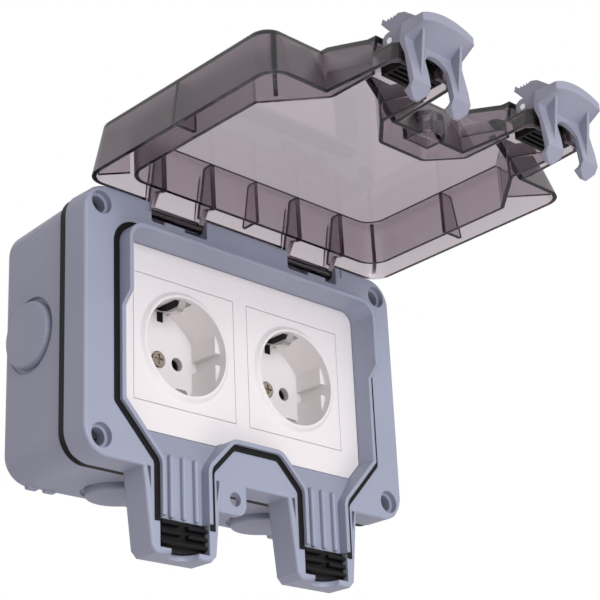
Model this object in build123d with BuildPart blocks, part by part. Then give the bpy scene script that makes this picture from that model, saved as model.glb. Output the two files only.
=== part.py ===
from build123d import *
import os

os.makedirs("parts", exist_ok=True)

# Two-gang outdoor socket: a deep wall box, a front cover with two cable legs, a hinged
# smoked lid with two latches, and a white face plate with two side-earthed sockets.
# Units are millimetres. X is to the right seen from the front, +Y goes into the wall,
# Z is up. The origin is the middle of the face that lies on the wall, so the front of
# the object looks along -Y.

# Layers from the wall to the front
box_depth = 40.4
gasket_thickness = 3.0
skirt_depth = 12.0
front_y = -(box_depth + gasket_thickness + skirt_depth)
box_mouth_y = -box_depth
cover_rear_y = -(box_depth + gasket_thickness)

# Back box
box_rear_half_w = 78.0
box_rear_half_h = 51.0
box_front_half_w = 80.6
box_front_half_h = 52.0
box_corner_r = 11.0
box_wall = 2.5
box_rear_edge_r = 4.0
gasket_overhang_w = 0.4
gasket_overhang_h = 0.2
gasket_half_w = box_front_half_w + gasket_overhang_w
gasket_half_h = box_front_half_h + gasket_overhang_h
gasket_w = 3.2
fixing_spacing_x = 120.0
fixing_spacing_z = 60.0
fixing_hole_r = 2.6
fixing_pad_r = 6.0
fixing_pad_h = 2.0
pillar_r = 5.0
pillar_bore_r = 1.6
pillar_bore_depth = 14.0
nub_width = 7.0
nub_height = 1.6
nub_depth = 4.0
nub_x = (-66.0, -56.0, 56.0, 66.0)

# Cable entries and their blanking plugs
entry_from_wall = 18.9
side_entry_z = 2.0
base_entry_x = 37.0
entry_recess_r = 14.4
entry_recess_depth = 1.0
entry_hole_r = 10.2
plug_head_r = 13.2
plug_head_proud = 2.8
plug_edge_r = 0.8
plug_clearance = 0.15
plug_spigot_depth = 9.0
plug_bore_r = 7.6

# Front cover
cover_overhang_w = 1.1
cover_overhang_h = 0.9
cover_half_w = box_front_half_w + cover_overhang_w
cover_half_h = box_front_half_h + cover_overhang_h
cover_corner_r = 11.0
cover_wall = 2.4
cover_front_t = 4.6
cover_edge_r = 1.2
screw_inset_x = 7.7
screw_inset_z = 7.5
screw_x = cover_half_w - screw_inset_x
screw_z = cover_half_h - screw_inset_z
counterbore_r = 4.6
counterbore_depth = 2.6
step_r = 3.4
step_depth = 8.6
cover_screw_hole_r = 2.2
cover_boss_wall = 1.8

# Cable legs
leg_x = 36.0
leg_top_half_w = 19.3
leg_end_half_w = 15.4
leg_end_z = -84.0
leg_end_chamfer = 2.4
leg_end_wall = 2.2
channel_floor_depth = 2.4
channel_rib_count = 3
channel_rib_pitch = 6.0
channel_rib_width = 2.6
channel_rib_top_z = -47.0
channel_rib_end_z = -69.4
channel_rib_ramp = 3.0
channel_rib_below_front = 0.3
leg_slot_length = 8.5
leg_slot_width = 1.7
leg_slot_depth = 2.4
leg_slot_inset = 1.9
leg_slot_top_z = -52.8
cable_notch_r = 6.6

# Seal path round the opening and down both legs (outer edge of the groove)
seal_inset_side = 13.3
seal_inset_top = 11.7
seal_half_w = cover_half_w - seal_inset_side
seal_top_z = cover_half_h - seal_inset_top
seal_corner_r = 10.0
seal_knee_z = -31.5
seal_leg_outer_x = 50.2
seal_leg_knee_z = -51.0
seal_leg_inner_x = 21.6
seal_inner_knee_z = -50.2
seal_mid_x = 11.0
seal_mid_z = -39.6
seal_bend_r = 2.5
seal_end_z = -72.5
seal_width = 2.4
seal_groove_depth = 2.0
seal_proud = 0.4

# Upstand inside the seal groove: tall at the top, low round the legs
upstand_wall = 1.7
upstand_tall = 6.5
upstand_low = 1.9
upstand_step_z = 10.4

# Face plate behind the opening
plate_depth = 6.3
plate_clearance = 0.2
plate_bottom_z = -37.0
plate_t = 2.8
plate_flange = 2.6
plate_flange_t = 2.2
ramp_end_z = -47.0

# Padlock tab on the cover
tab_half_w = 6.5
tab_end_z = -60.8
tab_chamfer = 5.0
tab_t = 2.4
padlock_hole_z = -56.0
padlock_hole_r = 2.8

# Cable seals in the legs
cable_seal_half_w = 11.6
cable_seal_top_z = -70.5
cable_seal_depth = 7.4
cable_seal_fit = 0.1
leg_solid_z = -66.0
comb_count = 4
comb_gap = 1.3
comb_depth = 4.6
comb_side = 1.0

# Hinge
hinge_x = 36.0
hinge_depth = 4.2
hinge_below_top = 2.4
hinge_z = cover_half_h - hinge_below_top
barrel_r = 2.6
hinge_pin_r = 1.6
hinge_pin_fit = 0.06
hinge_pin_grip = 2.0
press_gap = 0.02
notch_half_w = 14.1
notch_below_hinge = 5.9
notch_bottom_z = hinge_z - notch_below_hinge
notch_depth = 8.4
notch_wall = 2.2
notch_corner_r = 1.2
notch_tab_x = 38.5
notch_tab_width = 10.0
notch_tab_height = 1.4
notch_tab_t = 1.4
relief_width = 3.2
relief_height = 4.3
relief_depth = 0.8
relief_gap = 0.3
barrel_side_gap = 0.4
open_angle = 91.0

# Lid, drawn closed on the cover and then turned to its open pose
lid_rim_gap = 0.4
lid_wall_gap = 0.7
lid_height = 21.3
lid_rim_inset = 1.9
lid_rim_below_top = 2.3
lid_rim_below_base = 0.3
lid_rim_half_w = cover_half_w - lid_rim_inset
lid_rim_top_z = cover_half_h - lid_rim_below_top
lid_rim_bottom_z = -cover_half_h - lid_rim_below_base
lid_rim_corner_r = 8.5
lid_side_draft = 3.8
lid_bottom_draft = 6.4
lid_top_half_w = lid_rim_half_w - lid_side_draft
lid_top_top_z = lid_rim_top_z - lid_side_draft
lid_top_bottom_z = lid_rim_bottom_z + lid_bottom_draft
lid_top_corner_r = 7.5
lid_leg_start_z = -40.0
lid_leg_rim_half_w = 19.6
lid_leg_rim_end_half_w = 15.8
lid_leg_top_half_w = 12.6
lid_leg_top_end_half_w = 10.6
lid_leg_end_z = -83.2
lid_leg_top_end_z = -82.0
lid_skin = 1.8
lid_panel_t = 2.0
lid_edge_r = 2.2
lid_slope_start_z = -49.0
lid_slope_end_z = -69.0
lid_leg_height = 14.6
lid_leg_chamfer = 2.0
rib_length_top = 12.0
rib_length_side = 24.0
corner_rib_inset = 6.8
corner_rib_x = lid_rim_half_w - corner_rib_inset
corner_rib_top_z = 45.0
corner_rib_top_length = 18.0
corner_rib_bottom_z = -47.0
corner_rib_bottom_length = 34.0
sealing_wall_inset = 0.4
sealing_wall_t = 1.6
gusset_t = 1.6
gusset_free_gap = 1.6
arm_t = 2.4
arm_line = (
    (-19.8, 38.9),
    (-19.8, 45.5),
    (-16.1, 48.7),
    (-8.2, 50.3),
    (0.8, 51.4),
    (hinge_depth, hinge_z + 0.8),
    (hinge_depth - 0.4, hinge_z - 2.3),
    (-1.6, 44.7),
    (-0.8, 41.6),
    (-0.8, 38.9),
)
web_start_depth = -2.0
web_into_barrel = 0.8
boss_half_w = 6.6
boss_top_z = -45.2
boss_end_z = -57.0
boss_chamfer = 3.4
boss_wall = 1.4
boss_depth = 9.0
boss_hole_z = -52.4
boss_hole_r = 2.8
boss_ring_r = 4.2
boss_ring_h = 0.9
boss_t = 1.8
lid_seal_gap = 0.45
lid_seal_half_w = 10.2
lid_seal_end_gap = 0.5
lid_notch_r = 6.0

# Latches
latch_pin_depth = -11.2
latch_pin_z = -77.3
latch_pin_r = 1.2
latch_pin_fit = 0.06
knuckle_half_w = 9.0
knuckle_top_z = -71.0
knuckle_floor_depth = 7.6
knuckle_floor_t = 1.0
ear_gap = 0.3
ear_t = 2.0
ear_r = 3.3
ear_notch_room = 1.3
latch_arm_half_w = 14.5
latch_gap_half_w = 5.8
latch_arch_depth = -4.0
latch_arch_rise = 3.6
latch_foot_depth = 15.6
latch_foot_chamfer_d = 2.8
latch_foot_chamfer_x = 3.2
latch_inner_z = -84.5
latch_waist_z = -86.9
latch_waist_half_w = 12.6
latch_waist_rear = -14.1
latch_waist_front = -7.4
latch_crown_z = -94.4
latch_crown_half_w = 13.0
latch_crown_rear = -13.5
latch_crown_front = -10.4
latch_rear_bulge = -2.9
latch_crown_front_bulge = -2.5
latch_waist_front_bulge = 1.2
latch_grip_half_w = 11.3
latch_pocket_half_w = 10.5
latch_rib_x = 9.5
latch_rib_w = 1.3
ridge_count = 4
ridge_pitch = 1.4
ridge_first_z = -77.4
ridge_depth = -19.2
ridge_h = 0.7
ridge_half_w = 0.6
# Depth and Z of the latch's arms, pocket, grip, ears and ribs, seen from the side
latch_arms = (
    (-9.0, -84.5),
    (-9.0, -86.9),
    (-5.0, -86.9),
    (5.0, -88.6),
    (10.2, -89.1),
    (15.6, -85.7),
    (15.2, -84.5),
    (12.6, -84.5),
    (12.0, -86.2),
    (11.0, -87.1),
    (4.0, -86.5),
    (-1.0, -86.1),
    (-5.5, -84.5),
)
latch_pocket = (
    (-13.0, -84.0),
    (-13.0, -91.0),
    (-11.8, -91.0),
    (-8.8, -87.0),
    (-8.8, -84.0),
)
grip_face = (
    (-18.9, -74.3),
    (-20.7, -75.2),
    (-19.2, -76.6),
    (-19.0, -80.0),
    (-19.8, -82.4),
    (-18.9, -85.1),
    (-16.4, -88.2),
    (-14.0, -91.0),
)
grip_under = (
    (-13.6, -86.0),
    (-16.9, -82.4),
    (-17.0, -77.5),
)
ear_under = (
    (-8.6, -86.0),
    (-8.7, -83.4),
    (-7.9, -77.3),
    (-14.2, -78.1),
)
latch_rib = (
    (-9.9, -91.6),
    (7.6, -88.8),
    (7.6, -87.6),
    (-8.6, -86.0),
)

# Sockets
socket_pitch = 57.8
socket_half_w = 25.2
socket_half_h = 25.4
socket_z = -0.2
socket_gap = 0.2
ring_outer_r = 22.2
ring_crest_r = 20.7
ring_height = 1.4
well_r = 19.65
well_depth = 17.4
well_wall = 2.4
well_floor_t = 2.6
flat_x = 17.1
flat_half_h = 9.8
flat_start = 3.4
flat_slot_half_h = 2.4
flat_slot_x = 19.9
pin_spacing = 19.0
pin_hole_r = 2.75
centre_recess_r = 3.5
centre_recess_depth = 1.2
clip_pocket_half_w = 4.6
clip_pocket_z = 21.0
clip_pocket_start = 2.4
clip_start_depth = 8.0
clip_w = 6.0
clip_t = 0.8
rear_body_half_w = 21.5
rear_body_half_h = 22.0
rear_body_depth = 9.0
socket_flange = 1.6
socket_flange_t = 1.5

# Contacts and screws
contact_outer_r = 3.4
contact_bore_r = 2.35
contact_length = 7.6
contact_fit = 0.1
contact_slit = 1.0
centre_screw_head_r = 3.0
centre_screw_head_h = 1.8
centre_screw_shank_r = 1.4
centre_screw_length = 7.0
cover_screw_head_r = 3.1
cover_screw_head_h = 2.2
cover_screw_shank_r = 1.55
cover_screw_reach = 12.0
drive_w = 1.0
drive_depth = 1.0


def front_plane(y):
    """Plane facing the viewer at depth y, so that sketch x, y are X and Z."""
    return Plane.XZ.offset(-y)


def cover_y(depth):
    """Y of a depth measured from the cover's front face into the wall."""
    return front_y + depth


def side_plane(x):
    """Plane at X = x whose sketch x, y are Y and Z."""
    return Plane((x, 0, 0), x_dir=(0, 1, 0), z_dir=(1, 0, 0))


def rounded_box(half_w, half_h, corner_r, mode=Mode.ADD):
    """Sketch: rounded rectangle from its half sizes."""
    return RectangleRounded(2 * half_w, 2 * half_h, corner_r, mode=mode)


def round_corners(sketch, radius, low_z, high_z):
    """Round the sketch's corners that lie between two heights."""
    corners = [v for v in sketch.vertices() if low_z <= v.Y <= high_z]
    return fillet(corners, radius)


def mirrored_loop(points):
    """Closed loop from the right half's points, top to bottom, mirrored in X."""
    loop = list(points) + [(-x, z) for x, z in reversed(points) if x > 0]
    return loop


def seal_loop(end_z):
    """Right half of the groove's outer edge, with both sides of the right leg."""
    return [
        (seal_half_w, seal_top_z),
        (seal_half_w, seal_knee_z),
        (seal_leg_outer_x, seal_leg_knee_z),
        (seal_leg_outer_x, end_z),
        (seal_leg_inner_x, end_z),
        (seal_leg_inner_x, seal_inner_knee_z),
        (seal_mid_x, seal_mid_z),
    ]


def seal_face(inset, end_z):
    """Face inside the seal path, moved inwards by inset and ended at end_z."""
    far_end = leg_end_z - 10
    with BuildSketch() as face:
        with BuildLine():
            Polyline(*mirrored_loop(seal_loop(far_end)), close=True)
        make_face()
        round_corners(face, seal_corner_r, seal_top_z - 1, seal_top_z + 1)
        round_corners(face, seal_bend_r, seal_leg_knee_z - 1, seal_knee_z + 1)
        if inset > 0:
            offset(amount=-inset, kind=Kind.ARC)
        with Locations((0, end_z - far / 2)):
            Rectangle(far, far, mode=Mode.SUBTRACT)
    return face.sketch


def leg_face(half_top, half_end, top_z, end_z, chamfer_size):
    """Both cable legs as tapered faces that start at top_z."""
    with BuildSketch() as face:
        for side in (-1, 1):
            x = side * leg_x
            with BuildLine():
                Polyline(
                    (x - half_top, top_z),
                    (x + half_top, top_z),
                    (x + half_end, end_z + chamfer_size),
                    (x + half_end - chamfer_size, end_z),
                    (x - half_end + chamfer_size, end_z),
                    (x - half_end, end_z + chamfer_size),
                    close=True,
                )
            make_face()
    return face.sketch


def cover_outline(inset):
    """Cover's outline with its legs, moved inwards by inset."""
    legs = leg_face(
        leg_top_half_w - inset,
        leg_end_half_w - inset,
        -cover_half_h + 2 * cover_wall,
        leg_end_z + inset,
        leg_end_chamfer,
    )
    with BuildSketch() as face:
        rounded_box(cover_half_w - inset, cover_half_h - inset, cover_corner_r - inset)
        add(legs)
    return face.sketch


def plate_face(grow):
    """Face plate's outline: the opening down to the plate's bottom edge, grown."""
    opening = seal_face(seal_width + upstand_wall, plate_bottom_z)
    if grow == 0:
        return opening
    with BuildSketch() as face:
        add(opening)
        offset(amount=grow, kind=Kind.ARC)
    return face.sketch


corner_screws = [(x * screw_x, z * screw_z) for x in (-1, 1) for z in (-1, 1)]
hinge_y = cover_y(hinge_depth)
latch_pin_y = cover_y(latch_pin_depth)
latch_arch_r = (latch_gap_half_w**2 + latch_arch_rise**2) / (2 * latch_arch_rise)
wall_slope = lid_side_draft / lid_height
far = 4 * cover_half_w
entry_share = entry_from_wall / box_depth
side_wall_x = box_rear_half_w + (box_front_half_w - box_rear_half_w) * entry_share
base_wall_z = box_rear_half_h + (box_front_half_h - box_rear_half_h) * entry_share
side_floor_x = side_wall_x - entry_recess_depth
base_floor_z = base_wall_z - entry_recess_depth
entries = {
    "blanking_plug_left": Location((-side_floor_x, -entry_from_wall, side_entry_z), (0, -90, 0)),
    "blanking_plug_right": Location((side_floor_x, -entry_from_wall, side_entry_z), (0, 90, 0)),
    "blanking_plug_base_left": Location((-base_entry_x, -entry_from_wall, -base_floor_z), (180, 0, 0)),
    "blanking_plug_base_right": Location((base_entry_x, -entry_from_wall, -base_floor_z), (180, 0, 0)),
    "blanking_plug_top_left": Location((-base_entry_x, -entry_from_wall, base_floor_z)),
    "blanking_plug_top_right": Location((base_entry_x, -entry_from_wall, base_floor_z)),
}
at_floor = (Align.CENTER, Align.CENTER, Align.MIN)
below_floor = (Align.CENTER, Align.CENTER, Align.MAX)

# Back box: drafted shell, open to the front
with BuildPart() as back_box:
    with BuildSketch(front_plane(0)):
        rounded_box(box_rear_half_w, box_rear_half_h, box_corner_r)
    with BuildSketch(front_plane(box_mouth_y)):
        rounded_box(box_front_half_w, box_front_half_h, box_corner_r)
    loft(ruled=True)
    fillet(back_box.edges().group_by(Axis.Y)[-1], box_rear_edge_r)
    with BuildSketch(front_plane(-box_wall)):
        rounded_box(box_rear_half_w - box_wall, box_rear_half_h - box_wall, box_corner_r - box_wall)
    with BuildSketch(front_plane(box_mouth_y)):
        rounded_box(box_front_half_w - box_wall, box_front_half_h - box_wall, box_corner_r - box_wall)
    loft(ruled=True, mode=Mode.SUBTRACT)
    # Pillars in the corners take the cover's screws
    with BuildSketch(front_plane(-box_wall)):
        with Locations(*corner_screws):
            Circle(pillar_r)
    extrude(amount=box_depth - box_wall)
    with BuildSketch(front_plane(box_mouth_y)):
        with Locations(*corner_screws):
            Circle(pillar_bore_r)
    extrude(amount=-pillar_bore_depth, mode=Mode.SUBTRACT)
    # Spot-faced cable entries in both sides, the base and the top
    with Locations(*entries.values()):
        Cylinder(entry_recess_r, 3 * entry_recess_depth, align=at_floor, mode=Mode.SUBTRACT)
        Cylinder(entry_hole_r, 3 * box_wall, mode=Mode.SUBTRACT)
    # Wall fixing pads and holes
    with BuildSketch(front_plane(-box_wall)):
        with GridLocations(fixing_spacing_x, fixing_spacing_z, 2, 2):
            Circle(fixing_pad_r)
    extrude(amount=fixing_pad_h)
    with BuildSketch(front_plane(0)):
        with GridLocations(fixing_spacing_x, fixing_spacing_z, 2, 2):
            Circle(fixing_hole_r)
    extrude(amount=box_wall + fixing_pad_h, mode=Mode.SUBTRACT)
    # Nubs under the rear edge
    with Locations(*[(x, -box_rear_edge_r - nub_depth / 2, -box_rear_half_h) for x in nub_x]):
        Box(nub_width, nub_depth, 2 * nub_height)
back_box.part.label = "back_box"
export_step(back_box.part, "parts/back_box.step")

# Gasket between the box's mouth and the cover
with BuildPart() as box_gasket:
    with BuildSketch(front_plane(box_mouth_y)):
        rounded_box(gasket_half_w, gasket_half_h, box_corner_r)
        rounded_box(
            gasket_half_w - gasket_w,
            gasket_half_h - gasket_w,
            box_corner_r - gasket_w,
            mode=Mode.SUBTRACT,
        )
    extrude(amount=gasket_thickness)
box_gasket.part.label = "box_gasket"
export_step(box_gasket.part, "parts/box_gasket.step")

# Blanking plugs, one in each cable entry
for name, place in entries.items():
    with BuildPart() as plug:
        with Locations(place):
            Cylinder(plug_head_r, plug_head_proud, align=at_floor)
        fillet(plug.edges().filter_by(GeomType.CIRCLE), plug_edge_r)
        with Locations(place):
            Cylinder(plug_head_r - 2 * plug_edge_r, plug_head_proud / 2, align=at_floor)
            Cylinder(entry_hole_r - plug_clearance, plug_spigot_depth, align=below_floor)
            Cylinder(plug_bore_r, plug_spigot_depth, align=below_floor, mode=Mode.SUBTRACT)
    plug.part.label = name
    export_step(plug.part, "parts/" + name + ".step")

# Front cover with both cable legs
groove_outer = seal_face(0, seal_end_z)
groove_inner = seal_face(seal_width, seal_end_z - 2)
upstand_outer = seal_face(seal_width, cable_seal_top_z)
upstand_inner = seal_face(seal_width + upstand_wall, cable_seal_top_z - 2)
channel = seal_face(seal_width + upstand_wall, cable_seal_top_z)
collar = seal_face(seal_width, ramp_end_z)
plate_opening = plate_face(0)
cover_outer = cover_outline(0)
cover_inner = cover_outline(cover_wall)

# Space above the ramp between the cable channels and the plate
with BuildPart() as ramp_space:
    with BuildSketch(front_plane(cover_y(plate_depth))):
        add(channel)
    extrude(amount=plate_depth)
    with BuildSketch(side_plane(0)):
        with BuildLine():
            Polyline(
                (cover_y(plate_depth), plate_bottom_z),
                (front_y, plate_bottom_z),
                (front_y, ramp_end_z),
                (cover_y(channel_floor_depth), ramp_end_z),
                close=True,
            )
        make_face()
    extrude(amount=cover_half_w, both=True, mode=Mode.INTERSECT)

with BuildPart() as front_cover:
    with BuildSketch(front_plane(cover_rear_y)):
        add(cover_outer)
    extrude(amount=skirt_depth)
    fillet(front_cover.faces().sort_by(Axis.Y)[0].edges(), cover_edge_r)
    with BuildSketch(front_plane(cover_rear_y)):
        add(cover_inner)
        with Locations((0, leg_solid_z - far / 2)):
            Rectangle(far, far, mode=Mode.SUBTRACT)
    extrude(amount=skirt_depth - cover_front_t, mode=Mode.SUBTRACT)
    # Screw bosses behind the corners
    with BuildSketch(front_plane(cover_rear_y)):
        with Locations(*corner_screws):
            Circle(counterbore_r + cover_boss_wall)
    extrude(amount=skirt_depth - 1)
    # Hinge housings behind the top edge
    housing_top_z = cover_half_h - cover_edge_r
    housing_bottom_z = notch_bottom_z - notch_wall
    with BuildSketch(front_plane(cover_y(notch_depth + notch_wall))):
        with Locations(*[(x * hinge_x, (housing_top_z + housing_bottom_z) / 2) for x in (-1, 1)]):
            Rectangle(2 * (notch_half_w + notch_wall), housing_top_z - housing_bottom_z)
    extrude(amount=notch_depth + notch_wall - 1)
    # Collar behind the front that holds the plate
    with BuildSketch(front_plane(cover_y(plate_depth + plate_t))):
        add(collar)
    extrude(amount=plate_depth + plate_t - 1)
    # Upstand before the front, stepped down towards the legs
    with BuildSketch(front_plane(cover_y(1))):
        add(upstand_outer)
        add(upstand_inner, mode=Mode.SUBTRACT)
    extrude(amount=1 + upstand_tall)
    with BuildSketch(side_plane(0)):
        with BuildLine():
            Polyline(
                (front_y - upstand_low, leg_end_z),
                (front_y - upstand_low, upstand_step_z - upstand_tall + upstand_low),
                (front_y - upstand_tall, upstand_step_z),
                (front_y - 2 * upstand_tall, upstand_step_z),
                (front_y - 2 * upstand_tall, leg_end_z),
                close=True,
            )
        make_face()
    extrude(amount=cover_half_w, both=True, mode=Mode.SUBTRACT)
    # Seal groove
    with BuildSketch(front_plane(cover_y(seal_groove_depth))):
        add(groove_outer)
        add(groove_inner, mode=Mode.SUBTRACT)
    extrude(amount=seal_groove_depth + 1, mode=Mode.SUBTRACT)
    # Opening for the plate, the ramp below it and the channels in the legs
    with BuildSketch(front_plane(cover_rear_y)):
        add(plate_opening)
    extrude(amount=skirt_depth + 1, mode=Mode.SUBTRACT)
    add(ramp_space.part, mode=Mode.SUBTRACT)
    with BuildSketch(front_plane(cover_y(channel_floor_depth))):
        add(channel)
    extrude(amount=channel_floor_depth + 1, mode=Mode.SUBTRACT)
    # Ribs along the channel floors
    for side in (-1, 1):
        for i in range(channel_rib_count):
            x = side * leg_x + (i - (channel_rib_count - 1) / 2) * channel_rib_pitch
            with BuildSketch(side_plane(x)):
                with BuildLine():
                    Polyline(
                        (cover_y(channel_floor_depth + 1), channel_rib_top_z),
                        (cover_y(channel_floor_depth), channel_rib_top_z),
                        (cover_y(channel_rib_below_front), channel_rib_top_z - channel_rib_ramp),
                        (cover_y(channel_rib_below_front), channel_rib_end_z),
                        (cover_y(channel_floor_depth + 1), channel_rib_end_z),
                        close=True,
                    )
                make_face()
            extrude(amount=channel_rib_width / 2, both=True)
    # Pockets for the cable seals and the cable notches in the leg ends
    pocket_end_z = leg_end_z + leg_end_wall
    with BuildSketch(front_plane(cover_y(cable_seal_depth + cable_seal_fit))):
        with Locations(*[(x * leg_x, (cable_seal_top_z + pocket_end_z) / 2) for x in (-1, 1)]):
            Rectangle(2 * (cable_seal_half_w + cable_seal_fit), cable_seal_top_z - pocket_end_z)
    extrude(amount=cable_seal_depth + 1, mode=Mode.SUBTRACT)
    with Locations(*[(x * leg_x, front_y, leg_end_z) for x in (-1, 1)]):
        Cylinder(cable_notch_r, 2 * leg_end_wall, mode=Mode.SUBTRACT)
    # Slots beside the channels
    for side in (-1, 1):
        for flank in (-1, 1):
            x = side * leg_x + flank * (leg_top_half_w - leg_slot_inset)
            with BuildSketch(front_plane(cover_y(leg_slot_depth))):
                with BuildLine():
                    Polyline(
                        (x, leg_slot_top_z),
                        (x - flank * leg_slot_width, leg_slot_top_z),
                        (x - flank * leg_slot_width, leg_slot_top_z - leg_slot_length),
                        close=True,
                    )
                make_face()
            extrude(amount=leg_slot_depth + 1, mode=Mode.SUBTRACT)
    # Hinge notches, open through the top edge, with their pin holes
    with BuildSketch(front_plane(cover_y(notch_depth))):
        with Locations(*[(x * hinge_x, notch_bottom_z + notch_depth) for x in (-1, 1)]):
            RectangleRounded(2 * notch_half_w, 2 * notch_depth, notch_corner_r)
    extrude(amount=notch_depth + 1, mode=Mode.SUBTRACT)
    for side in (-1, 1):
        with Locations(Location((side * hinge_x, hinge_y, hinge_z), (0, 90, 0))):
            Cylinder(hinge_pin_r + press_gap, 2 * (notch_half_w + hinge_pin_grip), mode=Mode.SUBTRACT)
        with Locations((side * notch_tab_x, front_y, notch_bottom_z)):
            Box(
                notch_tab_width,
                notch_tab_t,
                notch_tab_height,
                align=(Align.CENTER, Align.MIN, Align.MIN),
            )
    # Shallow reliefs beside the notches' outer ends
    for side in (-1, 1):
        x = side * (hinge_x + notch_half_w + relief_gap + relief_width / 2)
        with Locations((x, front_y, cover_half_h)):
            Box(relief_width, 2 * relief_depth, 2 * relief_height, mode=Mode.SUBTRACT)
    # Screw counterbores
    for radius, depth in (
        (counterbore_r, counterbore_depth),
        (step_r, step_depth),
        (cover_screw_hole_r, skirt_depth),
    ):
        with BuildSketch(front_plane(front_y)):
            with Locations(*corner_screws):
                Circle(radius)
        extrude(amount=-depth, mode=Mode.SUBTRACT)
    # Padlock tab between the legs
    with BuildSketch(front_plane(cover_rear_y)):
        with BuildLine():
            Polyline(
                (-tab_half_w, -cover_half_h + cover_wall),
                (tab_half_w, -cover_half_h + cover_wall),
                (tab_half_w, tab_end_z + tab_chamfer),
                (tab_half_w - tab_chamfer, tab_end_z),
                (-tab_half_w + tab_chamfer, tab_end_z),
                (-tab_half_w, tab_end_z + tab_chamfer),
                close=True,
            )
        make_face()
        with Locations((0, padlock_hole_z)):
            Circle(padlock_hole_r, mode=Mode.SUBTRACT)
    extrude(amount=tab_t)
front_cover.part.label = "front_cover"
export_step(front_cover.part, "parts/front_cover.step")

# Screws that hold the cover to the box's pillars
with BuildPart() as cover_screws:
    for x, z in corner_screws:
        with Locations(Location((x, cover_y(step_depth), z), (90, 0, 0))):
            Cylinder(cover_screw_head_r, cover_screw_head_h, align=at_floor)
            Cylinder(cover_screw_shank_r, skirt_depth - step_depth + cover_screw_reach, align=below_floor)
        with Locations((x, cover_y(step_depth - cover_screw_head_h), z)):
            Box(2 * cover_screw_head_r, 2 * drive_depth, drive_w, mode=Mode.SUBTRACT)
cover_screws.part.label = "cover_screws"
export_step(cover_screws.part, "parts/cover_screws.step")

# Round seal in the groove, standing a little proud of the front
with BuildPart() as lid_seal:
    with BuildSketch(front_plane(cover_y(seal_groove_depth))):
        add(groove_outer)
        add(groove_inner, mode=Mode.SUBTRACT)
    extrude(amount=seal_groove_depth + seal_proud)
lid_seal.part.label = "lid_seal"
export_step(lid_seal.part, "parts/lid_seal.step")

# Comb seals at the ends of the cable legs
for name, side in (("cable_seal_left", -1), ("cable_seal_right", 1)):
    seal_end = leg_end_z + leg_end_wall + cable_seal_fit
    with BuildPart() as cable_seal:
        with Locations((side * leg_x, front_y, seal_end)):
            Box(
                2 * cable_seal_half_w,
                cable_seal_depth,
                cable_seal_top_z - cable_seal_fit - seal_end,
                align=(Align.CENTER, Align.MIN, Align.MIN),
            )
        pitch = (cable_seal_top_z - seal_end) / comb_count
        for i in range(1, comb_count):
            with Locations((side * leg_x, front_y, seal_end + i * pitch)):
                Box(
                    2 * (cable_seal_half_w - comb_side),
                    2 * comb_depth,
                    comb_gap,
                    mode=Mode.SUBTRACT,
                )
    cable_seal.part.label = name
    export_step(cable_seal.part, "parts/" + name + ".step")

# White plate: slides into the collar from behind and stops on its flange
plate_front = plate_face(-plate_clearance)
plate_rear = plate_face(plate_flange)
socket_centres = [(x * socket_pitch / 2, socket_z) for x in (-1, 1)]
with BuildPart() as face_plate:
    with BuildSketch(front_plane(cover_y(plate_depth + plate_t))):
        add(plate_front)
    extrude(amount=plate_t)
    with BuildSketch(front_plane(cover_y(plate_depth + plate_t + plate_flange_t))):
        add(plate_rear)
    extrude(amount=plate_flange_t)
    with BuildSketch(front_plane(cover_rear_y)):
        with Locations(*socket_centres):
            Rectangle(2 * (socket_half_w + socket_gap), 2 * (socket_half_h + socket_gap))
    extrude(amount=skirt_depth, mode=Mode.SUBTRACT)
face_plate.part.label = "face_plate"
export_step(face_plate.part, "parts/face_plate.step")

# Side-earthed socket modules
mouth_depth = plate_depth - ring_height
floor_depth = mouth_depth + well_depth
floor_rear_depth = floor_depth + well_floor_t
flange_depth = plate_depth + plate_t + plate_flange_t
clip_outer = [
    (clip_start_depth, clip_pocket_z - 0.1),
    (clip_start_depth + 1.6, 18.2),
    (clip_start_depth + 5.0, 16.4),
    (clip_start_depth + 8.2, 16.4),
    (floor_depth - 2.0, 18.6),
    (floor_depth - 0.6, clip_pocket_z - 0.1),
]
clip_inner = [
    (floor_depth - 0.6 - 1.1 * clip_t, clip_pocket_z - 0.1),
    (floor_depth - 2.0 - 0.8 * clip_t, 18.6 + 0.6 * clip_t),
    (clip_start_depth + 8.0, 16.4 + clip_t),
    (clip_start_depth + 5.2, 16.4 + clip_t),
    (clip_start_depth + 1.6 + 0.9 * clip_t, 18.2 + 0.5 * clip_t),
    (clip_start_depth + 1.1 * clip_t, clip_pocket_z - 0.1),
]
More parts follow.
